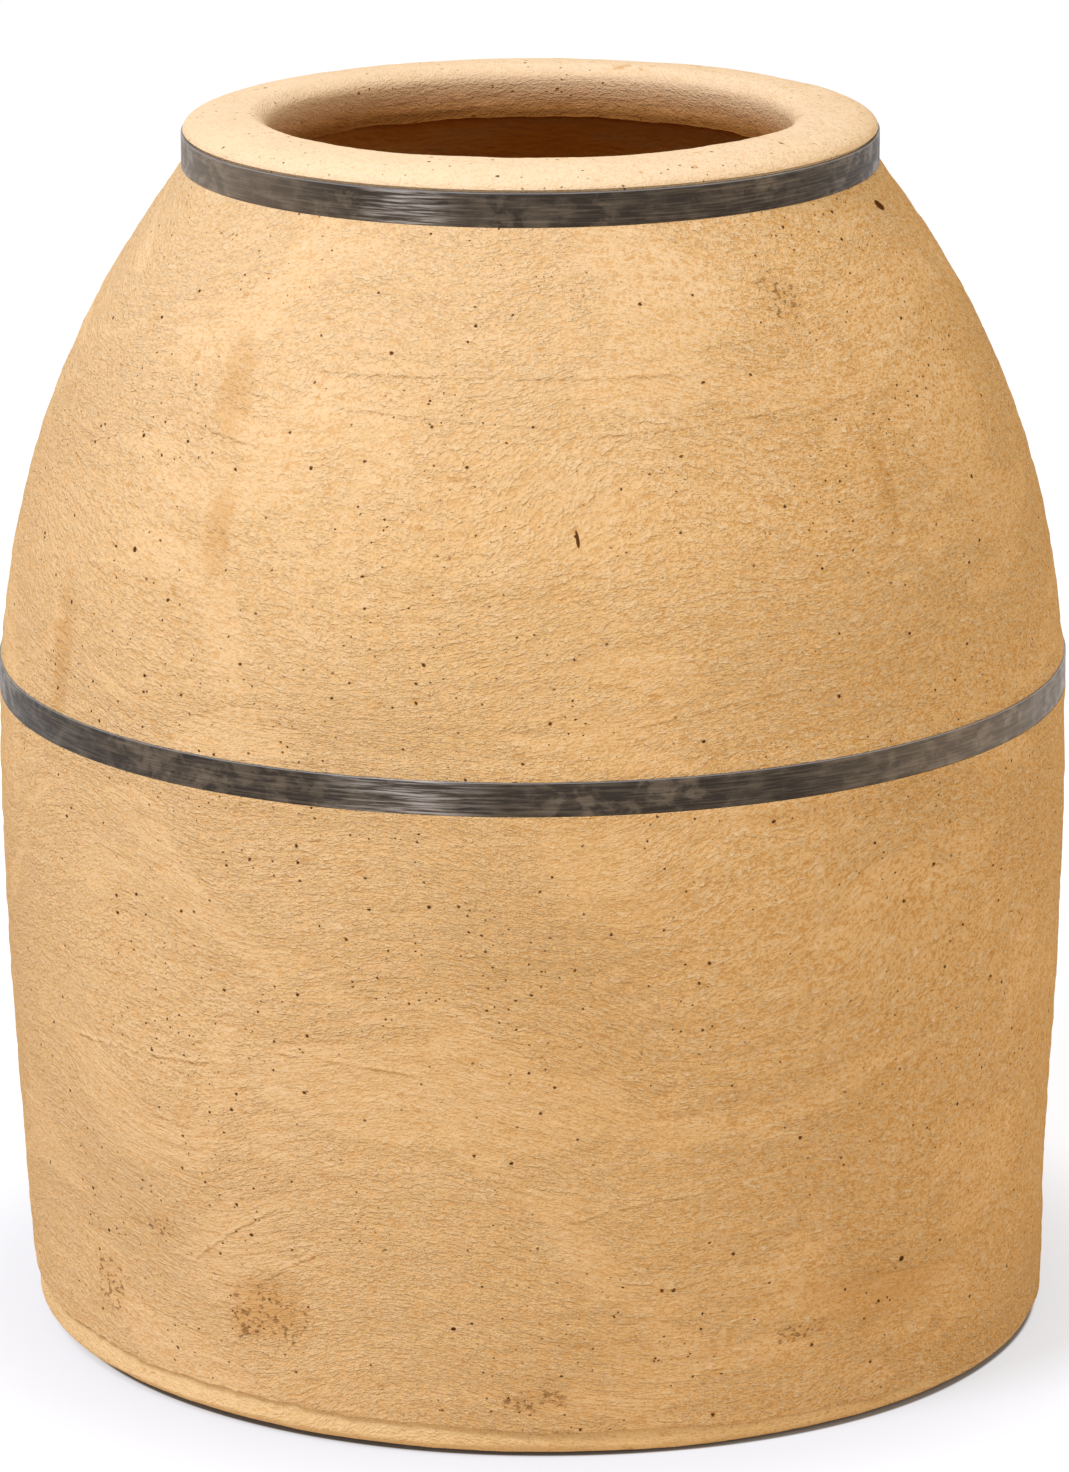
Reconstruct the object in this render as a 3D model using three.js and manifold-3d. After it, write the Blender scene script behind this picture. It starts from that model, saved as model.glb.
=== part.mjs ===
// Clay tandoor oven: a coil-built clay pot with a rolled mouth, bound by two riveted steel hoops.
// Inside, iron rods bedded in the wall make the fire grate, and a clay stopper closes the ash and air vent.
// Millimetres, +Z up. The origin is the centre of the underside; the vent faces +Y, the back.
import * as THREE from "three";
import { mergeVertices } from "three/addons/utils/BufferGeometryUtils.js";
import Module from "manifold-3d";

const wasm = await Module();
wasm.setup();

// ---------------------------------------------------------------- sizes
// Clay pot, outside
const HEIGHT = 749; // from the ground to the crest of the mouth
const BELLY_RADIUS = 327.3; // the widest place
const BELLY_Z = 335; // height of the widest place
const FOOT_DRAW_IN = 15.8; // how much narrower the foot is than the belly, in radius
const BELLY_LEDGE_Z = 396; // height of the ledge that carries the belly hoop
const NECK_DROP = 34.2; // from the crest of the mouth down to the ledge that carries the neck hoop
const LOWER_BOW = 1.5; // power of the curve from the belly down to the foot
const SHOULDER_BOW = 2.53; // power of the curve from the belly up to the neck

// Clay pot, walls and joints
const FOOT_WALL = 48; // thickness of the wall where it stands on the slab
const NECK_WALL = 34; // thickness of the wall at the top of the shoulder
const JOINT_DROP = 14; // how far the bevelled joints between courses fall from outside to inside
const MOUTH_RADIUS = 158; // the opening at its narrowest
const LIP_WIDTH = 49.2; // from the opening out to the back of the neck hoop
const LIP_CREST = 12; // from the opening out to the crest of the lip
const LIP_OUTER_ROUND = 19; // height of the rounding outside the crest
const LIP_INNER_ROUND = 14; // height of the rounding inside the crest
const LIP_FULLNESS = 3; // power of the outer rounding; 2 would be an ellipse
const LIP_FLARE = 3; // how much the mouth opens again below the lip
const SLAB_EDGE = 28; // thickness of the floor slab under the wall
const FLOOR_RISE = 12; // how far the hearth stands above the slab's edge
const SKIRT_DROP = 10; // how far the wall's skirt laps down over the slab's edge
const SKIRT_THICK = 7;
const FOOT_ROUND = 10; // rounding of the slab's lower edge
const SEAM_ROUND = 3; // rounding of the two edges that meet at the skirt's seam

// Steel hoops
const HOOP_WIDTH = 20;
const HOOP_THICK = 2.5;
const BELLY_HOOP_PROUD = 1; // how far the belly hoop stands out of the clay above it
const LAP_LENGTH = 62; // how far the two ends of a hoop overlap
const JOGGLE_LENGTH = 16; // length over which the outer end steps over the inner one
const RIVET_SPACING = 30;
const RIVET_RADIUS = 2.5;
const RIVET_HEAD_RADIUS = 5;
const RIVET_HEAD_RISE = 2.6;
const RIVET_SINK = 1.4; // depth and flare of the countersunk tail

// Fire grate
const ROD_RADIUS = 6;
const ROD_COUNT = 11;
const ROD_PITCH = 42;
const ROD_BED = 22; // how deep a rod's end is bedded in the clay
const ROD_ABOVE_VENT = 16; // clay left between the vent and the rods

// Vent and its stopper
const VENT_RADIUS = 34; // at the inner face of the wall
const VENT_FLARE = 5; // how much wider the vent is at the outer face
const VENT_SILL = 8; // height of the vent's lower edge above the hearth
const STOPPER_GAP = 1; // clearance around the stopper
const STOPPER_SET_IN = 4; // how far the stopper's two faces lie inside the wall's
const KNOB_RADIUS = 19;
const KNOB_NECK_RADIUS = 11;
const KNOB_LENGTH = 36;

// Fits and fineness
const FIT = 0.3; // gap between pieces that touch
const SIDES = 64; // facets around the pot and its hoops

// ---------------------------------------------------------------- places that follow from the sizes
const footRadius = BELLY_RADIUS - FOOT_DRAW_IN;
const neckSeat = MOUTH_RADIUS + LIP_WIDTH;
const shoulderRadius = neckSeat + FIT + HOOP_THICK;
const neckLedgeZ = HEIGHT - NECK_DROP;
const floorTop = SLAB_EDGE + FLOOR_RISE;
const skirtZ = SLAB_EDGE - SKIRT_DROP;
const skirtInner = outerRadius(skirtZ) - SKIRT_THICK;
const bellyHoopTop = BELLY_LEDGE_Z + HOOP_WIDTH + 2 * FIT;
const neckHoopTop = neckLedgeZ + HOOP_WIDTH + 2 * FIT;
const bellySeat = outerRadius(bellyHoopTop) + BELLY_HOOP_PROUD - HOOP_THICK - FIT;
const bellyJointZ = (BELLY_LEDGE_Z + bellyHoopTop) / 2;
const neckJointZ = (neckLedgeZ + neckHoopTop) / 2;
const ventZ = floorTop + VENT_SILL + VENT_RADIUS + VENT_FLARE;
const grateZ = ventZ + VENT_RADIUS + VENT_FLARE + ROD_ABOVE_VENT;
const footInnerRadius = innerRadius(SLAB_EDGE);

// Outer radius of the plain clay wall at a height, without the hoops' seats.
function outerRadius(z) {
  if (z <= BELLY_Z) {
    const down = (BELLY_Z - z) / BELLY_Z;
    return BELLY_RADIUS - (BELLY_RADIUS - footRadius) * down ** LOWER_BOW;
  }
  const up = (z - BELLY_Z) / (neckLedgeZ - BELLY_Z);
  return BELLY_RADIUS - (BELLY_RADIUS - shoulderRadius) * up ** SHOULDER_BOW;
}

// Inner radius at a height: the wall thins from foot to neck, and is measured square to its slope.
function innerRadius(z) {
  const share = (z - SLAB_EDGE) / (neckLedgeZ - SLAB_EDGE);
  const thickness = THREE.MathUtils.lerp(FOOT_WALL, NECK_WALL, share);
  const step = 1;
  const slope = (outerRadius(z + step) - outerRadius(z - step)) / (2 * step);
  return outerRadius(z) - thickness * Math.hypot(1, slope);
}

// Height of a bevelled joint at a radius, falling from the hoop's seat to the inside of the wall.
function jointZ(outerZ, seat, innerEdge, radius) {
  return outerZ - (JOINT_DROP * (seat - radius)) / (seat - innerEdge);
}

// ---------------------------------------------------------------- shaping helpers
// Points of a curve radius(z) between two heights, both ends included.
function wallCurve(radius, fromZ, toZ, steps) {
  return Array.from({ length: steps + 1 }, (_, i) => {
    const z = THREE.MathUtils.lerp(fromZ, toZ, i / steps);
    return new THREE.Vector2(radius(z), z);
  });
}

// Points of an arc in the radius and height plane, angles in degrees from the outward direction.
// A power of 2 is an ellipse, a higher one is fuller.
function arc(radius, z, halfWidth, halfHeight, fromAngle, toAngle, steps, power = 2) {
  const full = (share) => Math.sign(share) * Math.abs(share) ** (2 / power);
  return Array.from({ length: steps + 1 }, (_, i) => {
    const angle = THREE.MathUtils.degToRad(THREE.MathUtils.lerp(fromAngle, toAngle, i / steps));
    return new THREE.Vector2(
      radius + halfWidth * full(Math.cos(angle)),
      z + halfHeight * full(Math.sin(angle)),
    );
  });
}

// A profile turned around the Z axis. The profile runs up the outside and down the inside.
function turned(profile, sides = SIDES) {
  return new THREE.LatheGeometry(profile, sides).rotateX(Math.PI / 2);
}

// The same, closed on itself for a ring.
function turnedRing(profile) {
  return turned([...profile, profile[0].clone()]);
}

function point(radius, z) {
  return new THREE.Vector2(radius, z);
}

function solidOf(geometry) {
  const bare = geometry.index ? geometry.toNonIndexed() : geometry.clone();
  bare.deleteAttribute("normal");
  bare.deleteAttribute("uv");
  const merged = mergeVertices(bare, 1e-3);
  return new wasm.Manifold(
    new wasm.Mesh({
      numProp: 3,
      vertProperties: merged.attributes.position.array,
      triVerts: new Uint32Array(merged.index.array),
    }),
  );
}

function geometryOf(solid) {
  const mesh = solid.getMesh();
  const geometry = new THREE.BufferGeometry();
  geometry.setAttribute("position", new THREE.BufferAttribute(mesh.vertProperties, 3));
  geometry.setIndex(new THREE.BufferAttribute(mesh.triVerts, 1));
  geometry.computeVertexNormals();
  return geometry;
}

function cut(geometry, tools) {
  return geometryOf(tools.reduce((left, tool) => left.subtract(solidOf(tool)), solidOf(geometry)));
}

// ---------------------------------------------------------------- materials
const clay = new THREE.MeshStandardMaterial({ color: 0xd9ac72, roughness: 0.95, metalness: 0 });
const paleClay = new THREE.MeshStandardMaterial({ color: 0xe9c999, roughness: 0.9, metalness: 0 });
const steel = new THREE.MeshStandardMaterial({ color: 0x5c544d, roughness: 0.45, metalness: 0.9 });
const iron = new THREE.MeshStandardMaterial({ color: 0x4a3b31, roughness: 0.75, metalness: 0.7 });

const tandoor = new THREE.Group();

function add(name, geometry, material) {
  const mesh = new THREE.Mesh(geometry, material);
  mesh.name = name;
  tandoor.add(mesh);
  return mesh;
}

// ---------------------------------------------------------------- clay courses
// Floor slab: its raised middle is the hearth. The wall stands on its shoulder and laps over its edge.
function floorSlab() {
  const edgeRadius = outerRadius(skirtZ);
  const edgeTop = skirtZ - FIT;
  return turned([
    point(0, 0),
    ...arc(edgeRadius - FOOT_ROUND, FOOT_ROUND, FOOT_ROUND, FOOT_ROUND, -90, 0, 4),
    ...arc(edgeRadius - SEAM_ROUND, edgeTop - SEAM_ROUND, SEAM_ROUND, SEAM_ROUND, 0, 90, 2),
    point(skirtInner - FIT, edgeTop),
    point(skirtInner - FIT, SLAB_EDGE),
    point(footInnerRadius - FIT, SLAB_EDGE),
    point(footInnerRadius - FIT, floorTop),
    point(0, floorTop),
  ]);
}

// Lower course, from the slab to the joint behind the belly hoop, with the vent and the rods' beds cut in it.
function lowerCourse() {
  const footZ = SLAB_EDGE + FIT;
  const ring = turnedRing([
    point(footInnerRadius, footZ),
    point(skirtInner, footZ),
    point(skirtInner, skirtZ),
    ...arc(outerRadius(skirtZ) - SEAM_ROUND, skirtZ + SEAM_ROUND, SEAM_ROUND, SEAM_ROUND, -90, 0, 2),
    ...wallCurve(outerRadius, skirtZ + 3 * SEAM_ROUND, BELLY_LEDGE_Z, 8),
    point(bellySeat, BELLY_LEDGE_Z),
    point(bellySeat, bellyJointZ),
    ...wallCurve(innerRadius, bellyJointZ - JOINT_DROP, footZ + 3 * SEAM_ROUND, 6),
  ]);
  return cut(ring, [ventBore(), ...rodPlaces().map((place) => rod(place, FIT))]);
}

// Upper course: the shoulder, from the belly hoop up to the ledge that carries the neck hoop.
function upperCourse() {
  const bellyInner = innerRadius(bellyJointZ - JOINT_DROP);
  const neckInner = innerRadius(neckJointZ - JOINT_DROP);
  const ringInner = MOUTH_RADIUS + LIP_FLARE;
  const topZ = jointZ(neckJointZ, neckSeat, ringInner, neckInner);
  return turnedRing([
    point(bellyInner, bellyJointZ - JOINT_DROP + FIT),
    point(bellySeat, bellyJointZ + FIT),
    point(bellySeat, bellyHoopTop),
    ...wallCurve(outerRadius, bellyHoopTop, neckLedgeZ, 12),
    point(neckSeat, neckLedgeZ),
    point(neckSeat, neckJointZ),
    point(neckInner, topZ),
    ...wallCurve(innerRadius, neckJointZ - JOINT_DROP - HOOP_WIDTH / 2, bellyHoopTop, 9),
  ]);
}

// Mouth ring: the rolled lip, luted on the shoulder and held by the neck hoop.
function mouthRing() {
  const crest = MOUTH_RADIUS + LIP_CREST;
  const outerZ = HEIGHT - LIP_OUTER_ROUND;
  const innerZ = HEIGHT - LIP_INNER_ROUND;
  return turnedRing([
    point(MOUTH_RADIUS + LIP_FLARE, neckJointZ - JOINT_DROP + FIT),
    point(neckSeat, neckJointZ + FIT),
    ...arc(crest, outerZ, neckSeat - crest, LIP_OUTER_ROUND, 0, 90, 7, LIP_FULLNESS),
    ...arc(crest, innerZ, LIP_CREST, LIP_INNER_ROUND, 90, 180, 5).slice(1),
  ]);
}

// ---------------------------------------------------------------- steel hoops
// A flat strip bent round a seat, its ends lapped at the back. A point at angle 0 faces the front.
function hoop(seat, ledgeZ) {
  const inner = seat + FIT;
  const lap = LAP_LENGTH / inner;
  const joggle = JOGGLE_LENGTH / inner;
  const start = Math.PI - lap / 2;
  const end = start + 2 * Math.PI + lap;
  const overStart = start + 2 * Math.PI;
  const facet = (2 * Math.PI) / SIDES;
  const angles = [start, overStart - joggle, overStart, end];
  for (let i = Math.ceil(start / facet); i * facet < end; i += 1) angles.push(i * facet);
  angles.sort((a, b) => a - b);
  const kept = angles.filter((a, i) => i === 0 || a - angles[i - 1] > 1e-4);
  const lift = (a) => THREE.MathUtils.clamp((a - overStart + joggle) / joggle, 0, 1) * (HOOP_THICK + FIT);
  const at = (a, radius) => new THREE.Vector2(radius * Math.sin(a), -radius * Math.cos(a));
  const insideLine = kept.map((a) => at(a, inner + lift(a)));
  const outsideLine = kept.map((a) => at(a, inner + HOOP_THICK + lift(a))).reverse();
  const strip = new THREE.ExtrudeGeometry(new THREE.Shape([...insideLine, ...outsideLine]), {
    depth: HOOP_WIDTH,
    bevelEnabled: false,
  }).translate(0, 0, ledgeZ + FIT);
  return cut(strip, rivetAngles(inner).map((a) => placedRivet(inner, ledgeZ, a, FIT)));
}

function rivetAngles(inner) {
  const half = RIVET_SPACING / 2 / inner;
  return [Math.PI - half, Math.PI + half];
}

// A rivet, its tail countersunk against the clay and its head domed. Grown by a gap it is its own hole.
function placedRivet(inner, ledgeZ, angle, grow = 0) {
  const grip = 2 * HOOP_THICK + FIT;
  const shank = RIVET_RADIUS + grow;
  const tail = grow ? -HOOP_THICK : 0;
  const profile = [
    point(0, tail),
    point(shank + RIVET_SINK, tail),
    point(shank + RIVET_SINK, RIVET_SINK / 4),
    point(shank, RIVET_SINK),
    point(shank, grip + FIT),
    ...(grow
      ? [point(shank, grip + HOOP_THICK)]
      : arc(0, grip + FIT, RIVET_HEAD_RADIUS, RIVET_HEAD_RISE, 0, 75, 3)),
    point(0, grow ? grip + HOOP_THICK : grip + FIT + RIVET_HEAD_RISE),
  ];
  return turned(profile, 16)
    .rotateX(Math.PI / 2) // the rivet now points towards the front, -Y
    .translate(0, -inner, 0)
    .rotateZ(angle)
    .translate(0, 0, ledgeZ + FIT + HOOP_WIDTH / 2);
}

function addHoop(name, seat, ledgeZ) {
  add(`${name}_hoop`, hoop(seat, ledgeZ), steel);
  rivetAngles(seat + FIT).forEach((angle, i) => {
    add(`${name}_hoop_rivet_${i + 1}`, placedRivet(seat + FIT, ledgeZ, angle), steel);
  });
}

// ---------------------------------------------------------------- fire grate
// The rods lie side by side, front to back, each long enough to be bedded in the wall at both ends.
function rodPlaces() {
  const bedRadius = innerRadius(grateZ) + ROD_BED;
  return Array.from({ length: ROD_COUNT }, (_, i) => {
    const x = (i - (ROD_COUNT - 1) / 2) * ROD_PITCH;
    return { x, halfLength: Math.sqrt(bedRadius ** 2 - x ** 2) };
  });
}

function rod({ x, halfLength }, grow = 0) {
  const radius = ROD_RADIUS + grow;
  return new THREE.CylinderGeometry(radius, radius, 2 * (halfLength + grow), 12).translate(x, 0, grateZ);
}

// ---------------------------------------------------------------- vent and stopper
// Radius of the tapered vent at a distance from the pot's axis.
function ventRadius(y) {
  const innerY = innerRadius(ventZ);
  const outerY = outerRadius(ventZ);
  return VENT_RADIUS + (VENT_FLARE * (y - innerY)) / (outerY - innerY);
}

function ventBore() {
  const fromY = innerRadius(ventZ) - FOOT_WALL;
  const toY = outerRadius(ventZ) + FOOT_WALL;
  return new THREE.CylinderGeometry(ventRadius(toY), ventRadius(fromY), toY - fromY, 32)
    .translate(0, (fromY + toY) / 2, 0)
    .translate(0, 0, ventZ);
}

// A tapered clay plug with a knob, turned about its own axis and laid in the vent.
function ventStopper() {
  const innerY = innerRadius(ventZ) + STOPPER_SET_IN;
  const outerY = outerRadius(ventZ) - STOPPER_SET_IN;
  const knobZ = outerY + KNOB_LENGTH - KNOB_RADIUS / 2;
  return turned(
    [
      point(0, innerY),
      point(ventRadius(innerY) - STOPPER_GAP, innerY),
      point(ventRadius(outerY) - STOPPER_GAP, outerY),
      point(KNOB_NECK_RADIUS + STOPPER_SET_IN, outerY),
      point(KNOB_NECK_RADIUS, outerY + STOPPER_SET_IN),
      point(KNOB_NECK_RADIUS, knobZ - KNOB_RADIUS / 2),
      ...arc(0, knobZ, KNOB_RADIUS, KNOB_RADIUS / 2, -30, 90, 5).slice(0, -1),
      point(0, outerY + KNOB_LENGTH),
    ],
    32,
  )
    .rotateX(-Math.PI / 2) // its axis now runs along +Y
    .translate(0, 0, ventZ);
}

// ---------------------------------------------------------------- assembly
add("hearth_floor", floorSlab(), clay);
add("lower_wall", lowerCourse(), clay);
add("upper_wall", upperCourse(), clay);
add("mouth_ring", mouthRing(), paleClay);
addHoop("belly", bellySeat, BELLY_LEDGE_Z);
addHoop("neck", neckSeat, neckLedgeZ);
rodPlaces().forEach((place, i) => add(`grate_rod_${i + 1}`, rod(place), iron));
add("vent_stopper", ventStopper(), clay);

export default tandoor;
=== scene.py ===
"""A clay tandoor oven in a white studio: a hand-built clay pot bound by two lapped and riveted steel hoops.

Metres, +Z up, the pot's axis on the world's Z axis. The plain front faces -Y, the vent with its stopper +Y.
"""

import math

import bpy
from bpy.props import FloatProperty, FloatVectorProperty, PointerProperty
from mathutils import Color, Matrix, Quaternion, Vector


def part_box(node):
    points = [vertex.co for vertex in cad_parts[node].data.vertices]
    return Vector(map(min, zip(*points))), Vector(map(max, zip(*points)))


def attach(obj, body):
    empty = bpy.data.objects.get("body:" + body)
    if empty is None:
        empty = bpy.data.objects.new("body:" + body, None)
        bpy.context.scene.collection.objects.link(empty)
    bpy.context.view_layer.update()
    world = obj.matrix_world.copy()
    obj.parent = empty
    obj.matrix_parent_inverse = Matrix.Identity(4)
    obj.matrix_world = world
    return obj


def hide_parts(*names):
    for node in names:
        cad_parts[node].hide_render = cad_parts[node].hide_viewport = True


bl_info = {
    "name": "Clay Tandoor Oven",
    "version": (1, 0, 0),
    "blender": (4, 5, 0),
    "location": "3D Viewport > Sidebar > Tandoor",
    "description": "Builds a clay tandoor oven with steel hoops, fire grate and vent stopper",
    "category": "Object",
}

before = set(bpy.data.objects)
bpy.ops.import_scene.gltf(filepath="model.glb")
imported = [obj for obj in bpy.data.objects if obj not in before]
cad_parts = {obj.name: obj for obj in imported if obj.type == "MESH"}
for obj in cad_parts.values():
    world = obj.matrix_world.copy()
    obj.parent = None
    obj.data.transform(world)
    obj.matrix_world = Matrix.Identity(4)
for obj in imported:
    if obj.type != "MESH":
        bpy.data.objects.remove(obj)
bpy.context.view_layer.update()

SLAB_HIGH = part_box("hearth_floor")[1]
LOWER_LOW, LOWER_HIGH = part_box("lower_wall")
UPPER_LOW, UPPER_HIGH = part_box("upper_wall")
RING_LOW, RING_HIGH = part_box("mouth_ring")
BELLY_HOOP_LOW, BELLY_HOOP_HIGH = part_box("belly_hoop")
NECK_HOOP_LOW, NECK_HOOP_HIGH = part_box("neck_hoop")
STOPPER_LOW, STOPPER_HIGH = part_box("vent_stopper")
STOPPER_HEIGHT = (STOPPER_LOW.z + STOPPER_HIGH.z) / 2
ROD_NODES = sorted(
    (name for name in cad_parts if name.startswith("grate_rod_")),
    key=lambda name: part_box(name)[0].x,
)

# Fineness of the modelled clay
SKIN_ROW = 0.0024  # height of a row of faces outside
INSIDE_ROW = 0.009  # and inside, where less shows
ROUND_ROW = 0.0012  # along small rounded edges
SKIN_SIDES = 430  # faces around the pot
LIP_SIDES = 560

# Inside of the mouth, darker brown up to a height, within a reach from the axis
INSIDE_DARK_LOW, INSIDE_DARK_HIGH, INSIDE_DARK_REACH = 0.710, 0.748, 0.171

# Joints
FIT = 0.0003  # gap between pieces that touch
JOINT_DROP = 0.014  # fall of the bevelled joints between clay courses
SLAB_SHOULDER = 0.028  # height of the slab's shoulder, where the lower course stands
SLAB_RECESS = 0.0022  # how far the slab's edge lies behind the wall's skirt

# Edges as the hand left them
SEAM_TILT = 0.0105  # how much lower the seam above the slab lies at +X than at the axis
SEAM_FADE = 0.030  # height over which the skirt takes up the seam's waver
FOOT_WEAR = 0.0058  # how much higher the slab's lower edge is worn at -X
FOOT_SPREAD, FOOT_SPREAD_TOP = 0.0035, 0.110  # how far the foot spreads at +X, and up to which height
RIM_SAG = 0.003  # how much lower the crest of the lip lies at the back
LIP_SWELL = 0.0021  # how far the lip's clay swells out over the hoop's upper edge

# Marks on the pot's front: ovals with an angle in degrees from the front, positive towards +X, a height,
# a half width, a half height and a turn in degrees
UNROLL_RADIUS = 0.30  # radius at which the angles are laid flat
DARK_DENTS = (
    (5.0, 0.552, 0.0011, 0.0056, 8),
    (70.5, 0.701, 0.0085, 0.0032, -15),
    (43.4, 0.096, 0.0022, 0.0020, 0),
    (-8.7, 0.0825, 0.0016, 0.0012, 10),
    (-49.0, 0.524, 0.0018, 0.0020, 30),
)
STAINS = (
    (-39.5, 0.622, 0.020, 0.036, 8),
    (-37.0, 0.545, 0.012, 0.034, 0),
    (-60.0, 0.450, 0.014, 0.060, 0),
    (44.0, 0.560, 0.010, 0.045, -6),
    (-30.0, 0.085, 0.034, 0.024, 20),
    (40.0, 0.080, 0.070, 0.020, 0),
)
PITTED_PATCHES = (
    (-54.2, 0.068, 0.022, 0.024, 0),
    (-30.0, 0.076, 0.034, 0.026, 0),
    (0.2, 0.038, 0.026, 0.008, 0),
    (30.0, 0.066, 0.026, 0.009, 0),
    (37.0, 0.670, 0.024, 0.018, -30),
    (-44.0, 0.118, 0.016, 0.010, 0),
)
# Lines left by the trowel's edge: the angle and height of the middle, half the length, the turn in degrees
# and how far the ends bend down
TROWEL_LINES = (
    (-34.4, 0.125, 0.050, 37, 0.003),
    (-28.0, 0.108, 0.036, 34, 0.002),
    (12.0, 0.160, 0.052, 9, 0.004),
    (30.0, 0.140, 0.070, 14, -0.006),
    (20.0, 0.112, 0.060, 18, -0.006),
    (-48.0, 0.224, 0.085, 4, -0.004),
    (-20.0, 0.243, 0.050, -3, 0.002),
    (46.0, 0.236, 0.110, 2, 0.002),
    (52.0, 0.300, 0.060, 16, 0.003),
    (43.4, 0.575, 0.038, -76, 0.002),
    (47.5, 0.515, 0.030, -70, 0.002),
    (-20.0, 0.618, 0.130, -2, 0.002),
    (22.0, 0.610, 0.100, 3, -0.002),
    (-4.0, 0.638, 0.160, 0, 0.001),
    (-42.0, 0.598, 0.050, -6, 0.0),
    (20.0, 0.455, 0.060, 8, 0.003),
)
LINE_NEAR, LINE_FAR = 0.004, 0.008  # a line's trace fades between these distances
# Arcs of a wiping hand: the angle and height of their centre, then the oval where they show
SWIPES = (
    (-14.0, 0.300, (-52.0, 0.165, 0.090, 0.090, 0)),
    (-14.0, 0.300, (-22.0, 0.150, 0.060, 0.050, 0)),
    (16.0, 0.380, (14.0, 0.125, 0.150, 0.060, 5)),
    (60.0, 0.420, (50.0, 0.235, 0.080, 0.050, 20)),
    (0.0, 2.500, (0.0, 0.628, 0.330, 0.045, 0)),
    (0.0, 1.600, (-5.0, 0.440, 0.260, 0.028, 0)),
    (30.0, 0.850, (46.0, 0.520, 0.080, 0.070, 0)),
)

# Relief next to the hoops, where the clay was pressed flat under the strip
CALM_NEAR, CALM_FAR, CALM_SHARE = 0.003, 0.014, 0.10
HOOP_GAP = 0.00005  # gap that shows between the clay and a hoop's edge

# Hoops
LAP_LENGTH = 0.062
JOGGLE_LENGTH = 0.016
RIVET_SPACING = 0.030
HOOP_STEP = math.radians(1.2)  # angle between two cross-sections of a hoop

# Studio
# The floor's painted shadow: its glow is dimmer and bluer near the foot, fading out over this reach.
SHADOW_REACH = 0.16  # how far from the foot the floor turns fully white
# The painted contact shadow, a dark line on the floor under the foot:
CONTACT, CONTACT_FADE = -0.0095, 0.0025  # edge of the dark line under the foot, from the foot's radius
CONTACT_WORN, CONTACT_SPREAD = 0.0075, 0.0080  # how much further in it lies at -X, and out at +X
LAMP_AIM = (0, 0, 0.38)


# ------------------------------------------------------------------ settings
def length_setting(name, description, default):
    return FloatProperty(name=name, description=description, default=default, unit="LENGTH")


def angle_setting(name, description, degrees):
    return FloatProperty(name=name, description=description, default=math.radians(degrees), subtype="ANGLE")


def colour_setting(name, description, *default):
    return FloatVectorProperty(name=name, description=description, default=default, subtype="COLOR")


class TandoorSizes(bpy.types.PropertyGroup):
    """Sizes of the pot and its hoops."""

    height: length_setting("Height", "From the ground to the crest of the mouth", RING_HIGH.z)
    belly_radius: length_setting("Belly radius", "Outer radius at the widest place", LOWER_HIGH.x)
    belly_height: length_setting("Belly height", "Height of the widest place", 0.335)
    foot_draw_in: length_setting(
        "Foot draw-in", "How much narrower the foot is than the belly, in radius", 0.0158
    )
    shoulder_radius: length_setting(
        "Shoulder radius", "Outer radius at the top of the shoulder", NECK_HOOP_HIGH.x
    )
    foot_wall: length_setting("Foot wall", "Thickness of the wall where it stands on the slab", 0.048)
    neck_wall: length_setting("Neck wall", "Thickness of the wall at the top of the shoulder", 0.034)
    mouth_radius: length_setting("Mouth radius", "The opening at its narrowest", 0.158)
    lip_crest: length_setting("Lip crest", "From the opening out to the crest of the lip", 0.012)
    lip_outer_round: length_setting("Lip's outer round", "Height of the rounding outside the crest", 0.0165)
    lip_inner_round: length_setting("Lip's inner round", "Height of the rounding inside the crest", 0.014)
    hoop_thickness: length_setting("Hoop thickness", "Thickness of the steel strip", 0.0025)
    skin_relief: length_setting("Skin relief", "Deepest hollow that hands leave in the clay's skin", 0.0020)


class TandoorColours(bpy.types.PropertyGroup):
    """Colours of clay, steel and iron, linear."""

    clay: colour_setting("Clay", "The wall's dry clay", 0.80, 0.525, 0.250)
    # Pale clay is also the painted light: paler towards -X, up the shoulder and on raised grains.
    pale_clay: colour_setting("Pale clay", "Rubbed clay of the lip and shoulder", 0.90, 0.69, 0.46)
    slab_clay: colour_setting("Slab clay", "Lighter clay of the floor slab", 0.93, 0.65, 0.325)
    # Deepest brown, lowest just inside the mouth.
    deep_brown: colour_setting("Smoke", "Browned clay just inside the mouth", 0.15, 0.050, 0.010)
    # Ochre is also the painted shade: towards +X and in the hollows of the relief.
    ochre: colour_setting("Ochre", "Deeper colour of damp and rusty patches", 0.60, 0.30, 0.080)
    pit: colour_setting("Pit", "Bottom of pinholes and dents", 0.090, 0.024, 0.002)
    # Darker brown clay inside the oven and just inside the mouth.
    inside: colour_setting("Inside", "Fired and smoked clay inside the oven", 0.60, 0.225, 0.018)
    steel: colour_setting("Steel", "Mill scale on the hoops", 0.031, 0.0235, 0.0185)
    # Also the paler steel of the painted shine, besides scale rubbed thin.
    rubbed_and_sheen_steel: colour_setting("Rubbed steel", "Steel where the scale is rubbed thin", 0.31, 0.240, 0.170)
    # Painted highlight: the shine's streaks and the hoops' bright upper edge.
    highlight_steel: colour_setting("Bright steel", "Steel rubbed bare on the hoops", 0.52, 0.54, 0.59)
    iron: colour_setting("Iron", "Scaled iron of the grate rods", 0.065, 0.040, 0.026)
    rust: colour_setting("Rust", "Rust on the grate rods", 0.17, 0.065, 0.022)


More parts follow.
